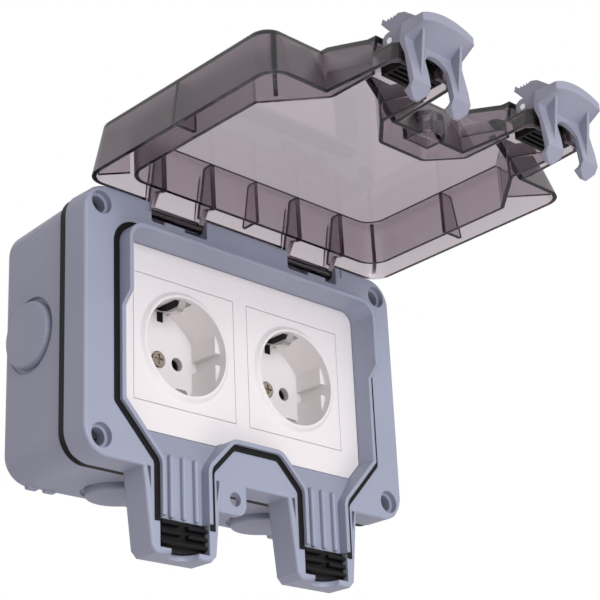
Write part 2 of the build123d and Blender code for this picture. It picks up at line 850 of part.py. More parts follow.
for side, sign in (("left", -1), ("right", 1)):
    x0 = sign * socket_pitch / 2
    pins = [(x0 - pin_spacing / 2, socket_z), (x0 + pin_spacing / 2, socket_z)]
    with BuildPart() as socket:
        # Face, flange behind the plate, well body and rear body
        with BuildSketch(front_plane(cover_y(flange_depth))):
            with Locations((x0, socket_z)):
                Rectangle(2 * socket_half_w, 2 * socket_half_h)
        extrude(amount=flange_depth - plate_depth)
        with BuildSketch(front_plane(cover_y(flange_depth + socket_flange_t))):
            with Locations((x0, socket_z)):
                Rectangle(2 * (socket_half_w + socket_flange), 2 * (socket_half_h + socket_flange))
        extrude(amount=socket_flange_t)
        with BuildSketch(front_plane(cover_y(floor_rear_depth))):
            with Locations((x0, socket_z)):
                Circle(well_r + well_wall)
        extrude(amount=floor_rear_depth - plate_depth)
        with BuildSketch(front_plane(cover_y(floor_rear_depth + rear_body_depth))):
            with Locations((x0, socket_z)):
                Rectangle(2 * rear_body_half_w, 2 * rear_body_half_h)
        extrude(amount=rear_body_depth)
        # Raised ring round the mouth
        with Locations(Location((x0, cover_y(plate_depth), socket_z), (90, 0, 0))):
            Cone(ring_outer_r, ring_crest_r, ring_height, align=at_floor)
        with BuildSketch(front_plane(cover_y(floor_depth))):
            with Locations((x0, socket_z)):
                Circle(well_r)
        extrude(amount=well_depth + 1, mode=Mode.SUBTRACT)
        # Guide blocks with a groove at both sides of the well
        with BuildSketch(front_plane(cover_y(floor_depth))):
            with Locations((x0, socket_z)):
                Circle(well_r + well_wall / 2)
                Rectangle(2 * flat_x, 2 * well_r + 2 * well_wall, mode=Mode.SUBTRACT)
            with Locations((x0, socket_z + flat_half_h + well_r), (x0, socket_z - flat_half_h - well_r)):
                Rectangle(4 * well_r, 2 * well_r, mode=Mode.SUBTRACT)
            with Locations((x0, socket_z)):
                Rectangle(2 * flat_slot_x, 2 * flat_slot_half_h, mode=Mode.SUBTRACT)
        extrude(amount=well_depth - flat_start)
        # Windows for the earth clips in the top and bottom of the well wall
        for up in (-1, 1):
            with Locations((x0, cover_y(mouth_depth + clip_pocket_start), socket_z)):
                with Locations((0, 0, up * (clip_pocket_z + well_r - 6) / 2)):
                    Box(
                        2 * clip_pocket_half_w,
                        well_depth - clip_pocket_start,
                        clip_pocket_z - well_r + 6,
                        align=(Align.CENTER, Align.MIN, Align.CENTER),
                        mode=Mode.SUBTRACT,
                    )
        # Pin holes with pockets for the contacts, and the centre screw's hole
        with BuildSketch(front_plane(cover_y(floor_depth))):
            with Locations(*pins):
                Circle(pin_hole_r)
        extrude(amount=-well_floor_t, mode=Mode.SUBTRACT)
        with BuildSketch(front_plane(cover_y(floor_rear_depth))):
            with Locations(*pins):
                Circle(contact_outer_r + contact_fit)
        extrude(amount=-contact_length - contact_fit, mode=Mode.SUBTRACT)
        with BuildSketch(front_plane(cover_y(floor_depth))):
            with Locations((x0, socket_z)):
                Circle(centre_recess_r)
        extrude(amount=-centre_recess_depth, mode=Mode.SUBTRACT)
        with BuildSketch(front_plane(cover_y(floor_depth + centre_recess_depth))):
            with Locations((x0, socket_z)):
                Circle(centre_screw_shank_r + press_gap)
        extrude(amount=-centre_screw_length - contact_fit, mode=Mode.SUBTRACT)
    socket.part.label = "socket_" + side
    export_step(socket.part, "parts/socket_" + side + ".step")

    for contact, pin in zip(("live", "neutral"), pins):
        with BuildPart() as sleeve:
            with BuildSketch(front_plane(cover_y(floor_rear_depth + contact_fit / 2))):
                with Locations(pin):
                    Circle(contact_outer_r)
                    Circle(contact_bore_r, mode=Mode.SUBTRACT)
            extrude(amount=-contact_length)
            with BuildSketch(front_plane(cover_y(floor_rear_depth + contact_fit / 2))):
                with Locations(pin):
                    Rectangle(contact_slit, 2 * contact_outer_r)
            extrude(amount=-contact_length + contact_slit, mode=Mode.SUBTRACT)
            with BuildSketch(front_plane(cover_y(floor_rear_depth + contact_fit / 2 + contact_length))):
                with Locations(pin):
                    Circle(contact_outer_r)
            extrude(amount=contact_slit)
        sleeve.part.label = contact + "_contact_" + side
        export_step(sleeve.part, "parts/" + contact + "_contact_" + side + ".step")

    with BuildPart() as earth_clip:
        for up in (-1, 1):
            with BuildSketch(side_plane(x0)):
                with BuildLine():
                    Polyline(
                        *[(cover_y(d), socket_z + up * z) for d, z in clip_outer + clip_inner],
                        close=True,
                    )
                make_face()
            extrude(amount=clip_w / 2, both=True)
    earth_clip.part.label = "earth_clips_" + side
    export_step(earth_clip.part, "parts/earth_clips_" + side + ".step")

    with BuildPart() as centre_screw:
        with Locations(Location((x0, cover_y(floor_depth + centre_recess_depth), socket_z), (90, 0, 0))):
            Cylinder(centre_screw_head_r, centre_screw_head_h, align=at_floor)
            Cylinder(centre_screw_shank_r, centre_screw_length, align=below_floor)
        with Locations((x0, cover_y(floor_depth + centre_recess_depth - centre_screw_head_h), socket_z)):
            Box(1.4 * centre_screw_head_r, 2 * drive_depth, drive_w, mode=Mode.SUBTRACT)
            Box(drive_w, 2 * drive_depth, 1.4 * centre_screw_head_r, mode=Mode.SUBTRACT)
    centre_screw.part.label = "centre_screw_" + side
    export_step(centre_screw.part, "parts/centre_screw_" + side + ".step")

# Hinge pins, pressed into the housings' side walls
for name, side in (("hinge_pin_left", -1), ("hinge_pin_right", 1)):
    with BuildPart() as hinge_pin:
        with Locations(Location((side * hinge_x, hinge_y, hinge_z), (0, 90, 0))):
            Cylinder(hinge_pin_r, 2 * (notch_half_w + hinge_pin_grip) - 0.1)
    hinge_pin.part.label = name
    export_step(hinge_pin.part, "parts/" + name + ".step")

# Lid, closed: blocks for its outside and inside
closed_rim_y = cover_y(-lid_rim_gap)
closed_top_y = cover_y(-lid_rim_gap - lid_height)
open_turn = (Axis((0, hinge_y, hinge_z), (1, 0, 0)), -open_angle)


def lid_block(inset, top_drop):
    """Solid with the lid's outline moved in by inset and its top lowered by top_drop."""
    rim_mid_z = (lid_rim_top_z + lid_rim_bottom_z) / 2
    rim_half_h = (lid_rim_top_z - lid_rim_bottom_z) / 2 - inset
    top_mid_z = (lid_top_top_z + lid_top_bottom_z) / 2
    top_half_h = (lid_top_top_z - lid_top_bottom_z) / 2 - inset
    top_y = closed_top_y + top_drop
    leg_rim = leg_face(
        lid_leg_rim_half_w - inset,
        lid_leg_rim_end_half_w - inset,
        lid_leg_start_z,
        lid_leg_end_z + inset,
        lid_leg_chamfer,
    )
    leg_top = leg_face(
        lid_leg_top_half_w - inset,
        lid_leg_top_end_half_w - inset,
        lid_leg_start_z,
        lid_leg_top_end_z + inset,
        lid_leg_chamfer,
    )
    with BuildPart() as block:
        with BuildSketch(front_plane(closed_rim_y)):
            with Locations((0, rim_mid_z)):
                rounded_box(lid_rim_half_w - inset, rim_half_h, lid_rim_corner_r - inset)
        with BuildSketch(front_plane(top_y)):
            with Locations((0, top_mid_z)):
                rounded_box(lid_top_half_w - inset, top_half_h, lid_top_corner_r - inset)
        loft(ruled=True)
        fillet(block.faces().sort_by(Axis.Y)[0].edges(), lid_edge_r if inset == 0 else lid_edge_r / 2)
    legs = []
    for low, high in zip(leg_rim.faces(), leg_top.faces()):
        with BuildPart() as leg:
            with BuildSketch(front_plane(closed_rim_y)):
                add(low)
            with BuildSketch(front_plane(top_y)):
                add(high)
            loft(ruled=True)
            # Top of the leg slopes down to the latch
            with BuildSketch(side_plane(0)):
                with BuildLine():
                    Polyline(
                        (top_y - 5, lid_slope_start_z),
                        (top_y, lid_slope_start_z),
                        (cover_y(-lid_rim_gap - lid_leg_height) + top_drop, lid_slope_end_z),
                        (cover_y(-lid_rim_gap - lid_leg_height) + top_drop, lid_leg_end_z - 5),
                        (top_y - 5, lid_leg_end_z - 5),
                        close=True,
                    )
                make_face()
            extrude(amount=cover_half_w, both=True, mode=Mode.SUBTRACT)
        legs.append(leg.part)
    with BuildPart() as whole:
        add(block.part)
        add(legs)
    return whole.part


lid_outer = lid_block(0, 0)
lid_inner = lid_block(lid_skin, lid_panel_t)
wall_outer = seal_face(sealing_wall_inset, cable_seal_top_z)
wall_inner = seal_face(sealing_wall_inset + sealing_wall_t, cable_seal_top_z - 2)
wall_middle = seal_face(sealing_wall_inset + sealing_wall_t / 2, cable_seal_top_z - 2)

# Wall that presses on the seal
with BuildPart() as sealing_wall:
    with BuildSketch(front_plane(cover_y(-lid_wall_gap))):
        add(wall_outer)
        add(wall_inner, mode=Mode.SUBTRACT)
    extrude(amount=lid_height)
    add(lid_outer, mode=Mode.INTERSECT)

with BuildPart() as inside_wall:
    with BuildSketch(front_plane(front_y)):
        add(wall_middle)
    extrude(amount=2 * lid_height)

# Ribs between that wall and the lid's skirt
with BuildPart() as gussets:
    rib_y = cover_y(-lid_rim_gap - gusset_free_gap)
    with Locations((0, rib_y, seal_top_z - sealing_wall_t / 2)):
        Box(gusset_t, lid_height, rib_length_top, align=(Align.CENTER, Align.MAX, Align.MIN))
    for side in (-1, 1):
        with Locations((side * (seal_half_w - 1), rib_y, 0)):
            Box(rib_length_side, lid_height, gusset_t, align=(Align.CENTER, Align.MAX, Align.CENTER))
        with Locations(Location((side * corner_rib_x, rib_y, corner_rib_top_z), (0, -side * 45, 0))):
            Box(corner_rib_top_length, lid_height, gusset_t, align=(Align.CENTER, Align.MAX, Align.CENTER))
        with Locations(Location((side * corner_rib_x, rib_y, corner_rib_bottom_z), (0, side * 45, 0))):
            Box(corner_rib_bottom_length, lid_height, gusset_t, align=(Align.CENTER, Align.MAX, Align.CENTER))
    add(inside_wall.part, mode=Mode.SUBTRACT)
    # Knuckles that carry the latch pins fill the ends of the legs
    for side in (-1, 1):
        with Locations((side * leg_x, cover_y(-knuckle_floor_depth + knuckle_floor_t), knuckle_top_z)):
            Box(
                2 * lid_leg_rim_half_w,
                lid_height,
                knuckle_top_z - lid_leg_end_z + 5,
                align=(Align.CENTER, Align.MAX, Align.MAX),
            )
    add(lid_outer, mode=Mode.INTERSECT)

with BuildPart() as hinge_arms:
    for side in (-1, 1):
        for flank in (-1, 1):
            x = side * hinge_x + flank * (notch_half_w - barrel_side_gap - arm_t / 2)
            with BuildSketch(side_plane(x)):
                with BuildLine():
                    Polyline(*[(cover_y(d), z) for d, z in arm_line], close=True)
                make_face()
                with Locations((hinge_y, hinge_z)):
                    Circle(barrel_r)
            extrude(amount=arm_t / 2, both=True)
        # Skirt runs on between the arms down to the barrel
        web = [
            (d, lid_rim_top_z + (d + lid_rim_gap) * wall_slope)
            for d in (web_start_depth, hinge_depth - hinge_pin_r - web_into_barrel / 2)
        ]
        with BuildSketch(side_plane(side * hinge_x)):
            with BuildLine():
                Polyline(
                    *[(cover_y(d), z) for d, z in web],
                    *[(cover_y(d), z - lid_skin) for d, z in reversed(web)],
                    close=True,
                )
            make_face()
        extrude(amount=notch_half_w - barrel_side_gap - arm_t / 2, both=True)
    add(inside_wall.part, mode=Mode.SUBTRACT)

boss_top = cover_y(-boss_depth)
boss_rim = cover_y(-lid_wall_gap)
with BuildPart() as lid_closed:
    add(lid_outer)
    add(lid_inner, mode=Mode.SUBTRACT)
    add(gussets.part)
    add(hinge_arms.part)
    add(sealing_wall.part)
    # Padlock boss in the valley between the legs
    for inset, mode in ((0, Mode.ADD), (boss_wall, Mode.SUBTRACT)):
        with BuildSketch(front_plane(boss_rim)):
            with BuildLine():
                Polyline(
                    (-boss_half_w + inset, boss_top_z - inset),
                    (boss_half_w - inset, boss_top_z - inset),
                    (boss_half_w - inset, boss_end_z + boss_chamfer),
                    (boss_half_w - boss_chamfer, boss_end_z + inset),
                    (-boss_half_w + boss_chamfer, boss_end_z + inset),
                    (-boss_half_w + inset, boss_end_z + boss_chamfer),
                    close=True,
                )
            make_face()
        extrude(amount=boss_depth - lid_wall_gap - (boss_t if inset else 0), mode=mode)
    with BuildSketch(front_plane(boss_top + boss_t + boss_ring_h)):
        with Locations((0, boss_hole_z)):
            Circle(boss_ring_r)
    extrude(amount=boss_ring_h)
    with BuildSketch(front_plane(boss_rim)):
        with Locations((0, boss_hole_z)):
            Circle(boss_hole_r)
    extrude(amount=boss_depth + lid_height, mode=Mode.SUBTRACT)
    # Barrels with their pin bores
    for side in (-1, 1):
        with Locations(Location((side * hinge_x, hinge_y, hinge_z), (0, 90, 0))):
            Cylinder(barrel_r, 2 * (notch_half_w - barrel_side_gap))
            Cylinder(hinge_pin_r + hinge_pin_fit, 4 * notch_half_w, mode=Mode.SUBTRACT)
    # Notches beside the knuckles for the latch ears, pin bores and cable notches
    for side in (-1, 1):
        for flank in (-1, 1):
            with Locations((
                side * leg_x + flank * knuckle_half_w,
                cover_y(-knuckle_floor_depth),
                latch_pin_z + ear_r + ear_notch_room,
            )):
                Box(
                    2 * knuckle_half_w,
                    lid_height,
                    lid_height,
                    align=(Align.MIN if flank > 0 else Align.MAX, Align.MAX, Align.MAX),
                    mode=Mode.SUBTRACT,
                )
        with Locations(Location((side * leg_x, latch_pin_y, latch_pin_z), (0, 90, 0))):
            Cylinder(latch_pin_r + press_gap, 4 * knuckle_half_w, mode=Mode.SUBTRACT)
        with Locations((side * leg_x, closed_rim_y, lid_leg_end_z)):
            Cylinder(lid_notch_r, 3 * lid_skin, mode=Mode.SUBTRACT)
lid_open = lid_closed.part.rotate(*open_turn)
lid_open.label = "lid"
export_step(lid_open, "parts/lid.step")

# Cable seals, latch pins and latches of both lid legs
for name, side in (("left", -1), ("right", 1)):
    x0 = side * leg_x
    seal_end = lid_leg_end_z + lid_skin + lid_seal_end_gap
    seal_height = knuckle_floor_depth - knuckle_floor_t - lid_seal_gap
    with BuildPart() as lid_cable_seal:
        with Locations((x0, cover_y(-lid_seal_gap), seal_end)):
            Box(
                2 * lid_seal_half_w,
                seal_height,
                cable_seal_top_z - 1 - seal_end,
                align=(Align.CENTER, Align.MAX, Align.MIN),
            )
        pitch = (cable_seal_top_z - 1 - seal_end) / comb_count
        for i in range(1, comb_count):
            with Locations((x0, cover_y(-lid_seal_gap), seal_end + i * pitch)):
                Box(
                    2 * (lid_seal_half_w - comb_side),
                    2 * comb_depth,
                    comb_gap,
                    mode=Mode.SUBTRACT,
                )
    lid_cable_seal_open = lid_cable_seal.part.rotate(*open_turn)
    lid_cable_seal_open.label = "lid_cable_seal_" + name
    export_step(lid_cable_seal_open, "parts/lid_cable_seal_" + name + ".step")

    with BuildPart() as latch_pin:
        with Locations(Location((x0, latch_pin_y, latch_pin_z), (0, 90, 0))):
            Cylinder(latch_pin_r, 2 * (knuckle_half_w + ear_gap + ear_t))
    latch_pin_open = latch_pin.part.rotate(*open_turn)
    latch_pin_open.label = "latch_pin_" + name
    export_step(latch_pin_open, "parts/latch_pin_" + name + ".step")

    with BuildPart() as arms:
        # Two arms with hooks, seen from the side, then cut to their plan
        with BuildSketch(side_plane(x0)):
            with BuildLine():
                Polyline(*[(cover_y(d), z) for d, z in latch_arms], close=True)
            make_face()
        extrude(amount=latch_arm_half_w, both=True)
        with BuildSketch(Plane.XY.offset(latch_crown_z)):
            for flank in (-1, 1):
                inner = x0 + flank * latch_gap_half_w
                outer = x0 + flank * latch_arm_half_w
                with BuildLine():
                    Polyline(
                        (x0, cover_y(latch_arch_depth)),
                        (x0, cover_y(latch_waist_rear)),
                        (outer, cover_y(latch_waist_rear)),
                        (outer, cover_y(latch_foot_depth - latch_foot_chamfer_d)),
                        (outer - flank * latch_foot_chamfer_x, cover_y(latch_foot_depth)),
                        (inner + flank * latch_foot_chamfer_x, cover_y(latch_foot_depth)),
                        (inner, cover_y(latch_foot_depth - latch_foot_chamfer_d)),
                        (inner, cover_y(latch_arch_depth + latch_arch_rise)),
                    )
                    RadiusArc(
                        (inner, cover_y(latch_arch_depth + latch_arch_rise)),
                        (x0, cover_y(latch_arch_depth)),
                        flank * latch_arch_r,
                    )
                make_face()
        extrude(amount=latch_crown_z, both=True, mode=Mode.INTERSECT)

    with BuildPart() as latch:
        # Crown flares out from the waist to a curved edge
        for top_z, half_w, rear, front_half_w, front, front_bulge in (
            (
                latch_crown_z,
                latch_crown_half_w,
                latch_crown_rear,
                latch_crown_half_w,
                latch_crown_front,
                latch_crown_front_bulge,
            ),
            (
                latch_waist_z,
                latch_waist_half_w,
                latch_waist_rear,
                latch_arm_half_w,
                latch_waist_front,
                latch_waist_front_bulge,
            ),
        ):
            with BuildSketch(Plane.XY.offset(top_z)) as section:
                with BuildLine():
                    ThreePointArc(
                        (x0 - half_w, cover_y(rear)),
                        (x0, cover_y(rear + latch_rear_bulge)),
                        (x0 + half_w, cover_y(rear)),
                    )
                    Line((x0 + half_w, cover_y(rear)), (x0 + front_half_w, cover_y(front)))
                    ThreePointArc(
                        (x0 + front_half_w, cover_y(front)),
                        (x0, cover_y(front + front_bulge)),
                        (x0 - front_half_w, cover_y(front)),
                    )
                    Line((x0 - front_half_w, cover_y(front)), (x0 - half_w, cover_y(rear)))
                make_face()
        loft(ruled=True)
        with BuildSketch(Plane.XY.offset(latch_waist_z)):
            add(section.sketch)
        extrude(amount=latch_inner_z - latch_waist_z)
        add(arms.part)
        # Pocket under the crown
        with BuildSketch(side_plane(x0)):
            with BuildLine():
                Polyline(*[(cover_y(d), z) for d, z in latch_pocket], close=True)
            make_face()
        extrude(amount=latch_pocket_half_w, both=True, mode=Mode.SUBTRACT)
        # Thumb grip between the ears, with ridges across it
        with BuildSketch(side_plane(x0)):
            with BuildLine():
                Polyline(*[(cover_y(d), z) for d, z in grip_face + grip_under], close=True)
            make_face()
            for i in range(ridge_count):
                z = ridge_first_z - i * ridge_pitch
                with BuildLine():
                    Polyline(
                        (cover_y(ridge_depth + ridge_h), z - ridge_half_w),
                        (cover_y(ridge_depth - ridge_h), z),
                        (cover_y(ridge_depth + ridge_h), z + ridge_half_w),
                        close=True,
                    )
                make_face()
        extrude(amount=latch_grip_half_w, both=True)
        # Ears round the pin, and ribs on the arms
        for flank in (-1, 1):
            with BuildSketch(side_plane(x0 + flank * (knuckle_half_w + ear_gap + ear_t / 2))):
                with BuildLine():
                    Polyline(*[(cover_y(d), z) for d, z in grip_face + ear_under], close=True)
                make_face()
                with Locations((latch_pin_y, latch_pin_z)):
                    Circle(ear_r)
            extrude(amount=ear_t / 2, both=True)
            with BuildSketch(side_plane(x0 + flank * latch_rib_x)):
                with BuildLine():
                    Polyline(*[(cover_y(d), z) for d, z in latch_rib], close=True)
                make_face()
            extrude(amount=latch_rib_w / 2, both=True)
        with Locations(Location((x0, latch_pin_y, latch_pin_z), (0, 90, 0))):
            Cylinder(latch_pin_r + latch_pin_fit, 4 * knuckle_half_w, mode=Mode.SUBTRACT)
    latch_open = latch.part.rotate(*open_turn)
    latch_open.label = "latch_" + name
    export_step(latch_open, "parts/latch_" + name + ".step")
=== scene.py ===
# %% [markdown]
# # Outdoor weatherproof socket
#
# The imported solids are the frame. This scene gives each of them a procedural material,
# puts finer pieces in the place of some of them, and sets the light and the camera so
# that the render matches the photograph.

# %% Load the frame
import math

import bmesh
import bpy
from mathutils import Matrix, Vector


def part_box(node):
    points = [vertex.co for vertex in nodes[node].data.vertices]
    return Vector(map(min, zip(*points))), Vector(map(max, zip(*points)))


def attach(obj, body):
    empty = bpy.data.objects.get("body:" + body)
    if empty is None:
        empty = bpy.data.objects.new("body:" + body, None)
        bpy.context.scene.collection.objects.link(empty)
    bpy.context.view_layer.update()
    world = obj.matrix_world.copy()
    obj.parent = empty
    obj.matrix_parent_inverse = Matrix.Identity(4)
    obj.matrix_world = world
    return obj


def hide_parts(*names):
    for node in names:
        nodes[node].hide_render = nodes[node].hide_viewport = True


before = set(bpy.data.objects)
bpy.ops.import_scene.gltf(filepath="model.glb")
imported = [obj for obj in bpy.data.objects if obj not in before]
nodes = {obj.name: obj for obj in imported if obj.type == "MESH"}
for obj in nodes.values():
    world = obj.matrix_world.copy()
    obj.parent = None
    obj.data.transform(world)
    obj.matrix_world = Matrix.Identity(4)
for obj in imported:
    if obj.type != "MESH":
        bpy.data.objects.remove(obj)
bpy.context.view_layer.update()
MM = 0.001
COVER_DEPTH = 12.0  # from the front of the cover to its rear edge
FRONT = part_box("front_cover")[1][1] - COVER_DEPTH * MM
print("nodes:", len(nodes), "front of the cover at y =", round(FRONT, 4))


# %% [markdown]
# ## Materials
#
# Everything is moulded plastic, rubber or plated metal. Each material has softly rounded
# edges and a fine grain, or slow waves in the clear lid. The plastics and the rubber also
# have a slow colour drift.

# %% Material helpers
DRIFT_SCALE, DRIFT_DETAIL = 18.0, 2.0
GRAIN_DETAIL = 4.0
METAL_GRAIN, METAL_EDGE = 1500.0, 0.15
CLEAR_ROUGH, CLEAR_IOR, CLEAR_WAVES = 0.03, 1.45, 25.0
SATIN_FROM, SATIN_TO = 20.0, 26.0  # how far out a face has to look to be the satin outside
SHADOW_TINT = (0.75, 0.72, 0.74, 1)


def new_material(name):
    """A material with only its output node."""
    material = bpy.data.materials.new(name)
    material.use_nodes = True
    tree = material.node_tree
    tree.nodes.clear()
    return material, tree, tree.nodes.new("ShaderNodeOutputMaterial")


def add(tree, kind, **values):
    """A shader node with some of its sockets set."""
    node = tree.nodes.new("ShaderNode" + kind)
    for socket, value in values.items():
        node.inputs[socket.replace("_", " ")].default_value = value
    return node


def surface_noise(tree, scale, detail):
    """Noise in object coordinates, which are metres in the shared frame."""
    coord = add(tree, "TexCoord")
    noise = add(tree, "TexNoise", Scale=scale, Detail=detail)
    tree.links.new(coord.outputs["Object"], noise.inputs["Vector"])
    return noise.outputs["Fac"]


def spread(tree, value, low, high, start=0.0, end=1.0):
    """Map a value from start and end to low and high."""
    node = add(tree, "MapRange", From_Min=start, From_Max=end, To_Min=low, To_Max=high)
    tree.links.new(value, node.inputs["Value"])
    return node.outputs["Result"]


def soft_normal(tree, edge, height, strength, distance):
    """Rounded edges, with a fine grain bumped on top of them; the lengths are in mm."""
    bevel = add(tree, "Bevel", Radius=edge * MM)
    bevel.samples = 6
    bump = add(tree, "Bump", Strength=strength, Distance=distance * MM)
    tree.links.new(height, bump.inputs["Height"])
    tree.links.new(bevel.outputs["Normal"], bump.inputs["Normal"])
    return bump.outputs["Normal"]


def plastic(name, color, rough, grain, strength, edge, drift=0.04, coat=0.0, shine=0.5):
    """Moulded plastic or rubber."""
    material, tree, out = new_material(name)
    link = tree.links.new
    bsdf = add(
        tree, "BsdfPrincipled", Coat_Weight=coat, Coat_Roughness=0.2, Specular_IOR_Level=shine
    )
    ramp = add(tree, "ValToRGB")
    stops = ramp.color_ramp.elements
    for stop, position, gain in zip(stops, (0.35, 0.65), (1 - drift, 1 + drift)):
        stop.position = position
        stop.color = [min(1, c * gain) for c in color] + [1]
    fine = surface_noise(tree, grain, GRAIN_DETAIL)
    link(surface_noise(tree, DRIFT_SCALE, DRIFT_DETAIL), ramp.inputs["Fac"])
    link(ramp.outputs["Color"], bsdf.inputs["Base Color"])
    link(spread(tree, fine, rough - 0.05, rough + 0.07), bsdf.inputs["Roughness"])
    link(soft_normal(tree, edge, fine, strength, 0.05), bsdf.inputs["Normal"])
    link(bsdf.outputs["BSDF"], out.inputs["Surface"])
    return material


def metal(name, color, rough):
    """Plated metal, with a grain in its roughness."""
    material, tree, out = new_material(name)
    link = tree.links.new
    bsdf = add(tree, "BsdfPrincipled", Base_Color=list(color) + [1], Metallic=1.0)
    fine = surface_noise(tree, METAL_GRAIN, GRAIN_DETAIL)
    link(spread(tree, fine, rough * 0.7, rough * 1.4), bsdf.inputs["Roughness"])
    link(soft_normal(tree, METAL_EDGE, fine, 0.1, 0.02), bsdf.inputs["Normal"])
    link(bsdf.outputs["BSDF"], out.inputs["Surface"])
    return material


def smoked(name, tint, density, middle, satin):
    """Clear tinted plastic: it refracts, and darkens with the length of the path inside.

    Faces that look away from the middle of the lid are its satin outside."""
    material, tree, out = new_material(name)
    link = tree.links.new
    bsdf = add(
        tree, "BsdfPrincipled", Base_Color=(1, 1, 1, 1), Transmission_Weight=1.0, IOR=CLEAR_IOR
    )
    coord = add(tree, "TexCoord")
    outward = add(tree, "VectorMath")
    outward.operation = "SUBTRACT"
    outward.inputs[1].default_value = middle
    facing = add(tree, "VectorMath")
    facing.operation = "DOT_PRODUCT"
    link(coord.outputs["Object"], outward.inputs[0])
    link(outward.outputs["Vector"], facing.inputs[0])
    link(coord.outputs["Normal"], facing.inputs[1])
    rough = spread(
        tree, facing.outputs["Value"], CLEAR_ROUGH, satin, SATIN_FROM * MM, SATIN_TO * MM
    )
    link(rough, bsdf.inputs["Roughness"])
    waves = surface_noise(tree, CLEAR_WAVES, DRIFT_DETAIL)
    link(soft_normal(tree, 0.5, waves, 0.05, 0.3), bsdf.inputs["Normal"])

    # Light passes straight through the lid on its way to the pieces behind it
    clear = add(tree, "BsdfTransparent", Color=SHADOW_TINT)
    path = add(tree, "LightPath")
    mix = add(tree, "MixShader")
    link(path.outputs["Is Shadow Ray"], mix.inputs["Fac"])
    link(bsdf.outputs["BSDF"], mix.inputs[1])
    link(clear.outputs["BSDF"], mix.inputs[2])
    link(mix.outputs["Shader"], out.inputs["Surface"])
    absorb = add(tree, "VolumeAbsorption", Color=list(tint) + [1], Density=density)
    link(absorb.outputs["Volume"], out.inputs["Volume"])
    return material


# %% The materials, and the material of each node
GREY = (0.300, 0.322, 0.405)
LATCH_GREY = (0.262, 0.268, 0.335)
WARM_WHITE = (0.775, 0.735, 0.725)
BLACK_RUBBER = (0.006, 0.005, 0.0055)
BLACK_GLOSS = (0.008, 0.006, 0.007)
# near-black for the blocks of painted shade in the earth-spring slots
PAINTED_SHADE_BLACK = (0.012, 0.011, 0.012)
SMOKE_TINT, SMOKE_DENSITY = (0.46, 0.37, 0.43), 560.0
LID_MIDDLE = tuple((a + b) / 2 for a, b in zip(*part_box("lid")))

materials = {
    "grey": plastic("grey_plastic", GREY, 0.46, grain=1400, strength=0.35, edge=0.6),
    "latch": plastic(
        "latch_plastic", LATCH_GREY, 0.36, grain=700, strength=0.08, edge=0.7, coat=0.1
    ),
    "white": plastic(
        "white_plastic", WARM_WHITE, 0.36,
        grain=900, strength=0.05, edge=0.4, drift=0.01, coat=0.05,
    ),
    "rubber": plastic(
        "black_rubber", BLACK_RUBBER, 0.5, grain=1200, strength=0.3, edge=0.4, shine=0.16
    ),
    "pin": plastic(
        "black_gloss_plastic", BLACK_GLOSS, 0.22, grain=600, strength=0.05, edge=0.3, shine=0.35
    ),
    # painted shade: a near-black finish for the blocks that stand for the unlit slots
    "shade_lining_finish": plastic(
        "painted_shade_lining", PAINTED_SHADE_BLACK, 0.6, grain=700, strength=0.1, edge=0.1, shine=0.1
    ),
    "smoked": smoked("smoked_plastic", SMOKE_TINT, SMOKE_DENSITY, LID_MIDDLE, 0.34),
    "steel": metal("plated_steel", (0.62, 0.61, 0.60), 0.25),
    "screw": metal("plated_screw", (0.42, 0.36, 0.30), 0.34),
    # near-black metal: partly the metal's own colour, partly painted shade of the deep pin holes
    # and screw counterbores
    "contact": metal("metal_darkened_as_shade", (0.10, 0.09, 0.09), 0.42),
}
finish_of = {
    "back_box": "grey", "front_cover": "grey", "box_gasket": "rubber", "lid_seal": "rubber",
    # the cover screws take the metal darkened with painted shade of their counterbores
    "lid": "smoked", "face_plate": "white", "cover_screws": "contact",
}
finish_of_pair = {
    "blanking_plug": "grey", "blanking_plug_base": "grey", "blanking_plug_top": "grey",
    "cable_seal": "rubber", "lid_cable_seal": "rubber", "hinge_pin": "pin",
    "latch_pin": "steel", "latch": "latch", "socket": "white", "earth_clips": "steel",
    "live_contact": "contact", "neutral_contact": "contact", "centre_screw": "screw",
}
for name, finish in finish_of_pair.items():
    for side in ("left", "right"):
        finish_of[name + "_" + side] = finish
for name, finish in finish_of.items():
    mesh = nodes[name].data
    mesh.materials.clear()
    mesh.materials.append(materials[finish])
print("materials:", sorted(materials), "nodes:", len(finish_of))


# %% [markdown]
# ## Helpers for the moulded details
#
# Every piece below is drawn in millimetres with bmesh operators and scaled to metres at
# the end, so its numbers read like those of a drawing. A small block with rounded edges
# is the basis of most moulded details. Larger pieces are merged copies of their solids,
# trimmed with a Boolean.

# %% Piece helpers
def bevel(bm, geom, offset, segments, affect="EDGES"):
    bmesh.ops.bevel(
        bm, geom=geom, offset=offset, segments=segments, affect=affect, profile=0.5, material=-1
    )


def new_object(name, bm):
    """Turn a bmesh into an object of the scene."""
    mesh = bpy.data.meshes.new(name)
    bm.to_mesh(mesh)
    bm.free()
    made = bpy.data.objects.new(name, mesh)
    bpy.context.scene.collection.objects.link(made)
    return made


def to_metres(bm):
    bmesh.ops.recalc_face_normals(bm, faces=bm.faces)
    bmesh.ops.scale(bm, vec=(MM, MM, MM), verts=bm.verts)


def dress(piece, finish, slot, *replaced):
    """Give a piece its material, let it ride on the housing, and hide the nodes
    that it stands for. The slot argument is not used."""
    piece.data.materials.clear()
    piece.data.materials.append(materials[finish])
    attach(piece, "housing")
    if replaced:
        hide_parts(*replaced)
    print(piece.name, "faces:", len(piece.data.polygons))


def finish_piece(bm, name, finish, slot, *replaced):
    """Turn a bmesh in millimetres into a dressed object in metres."""
    to_metres(bm)
    open_edges = sum(1 for e in bm.edges if not e.is_manifold)
    piece = new_object(name, bm)
    dress(piece, finish, slot, *replaced)
    print("  open edges:", open_edges)
    return piece


def solid_copy(node, name):
    """A copy of a solid whose faces share their vertices."""
    bm = bmesh.new()
    bm.from_mesh(nodes[node].data)
    bmesh.ops.remove_doubles(bm, verts=bm.verts, dist=0.001 * MM)
    return new_object(name, bm)


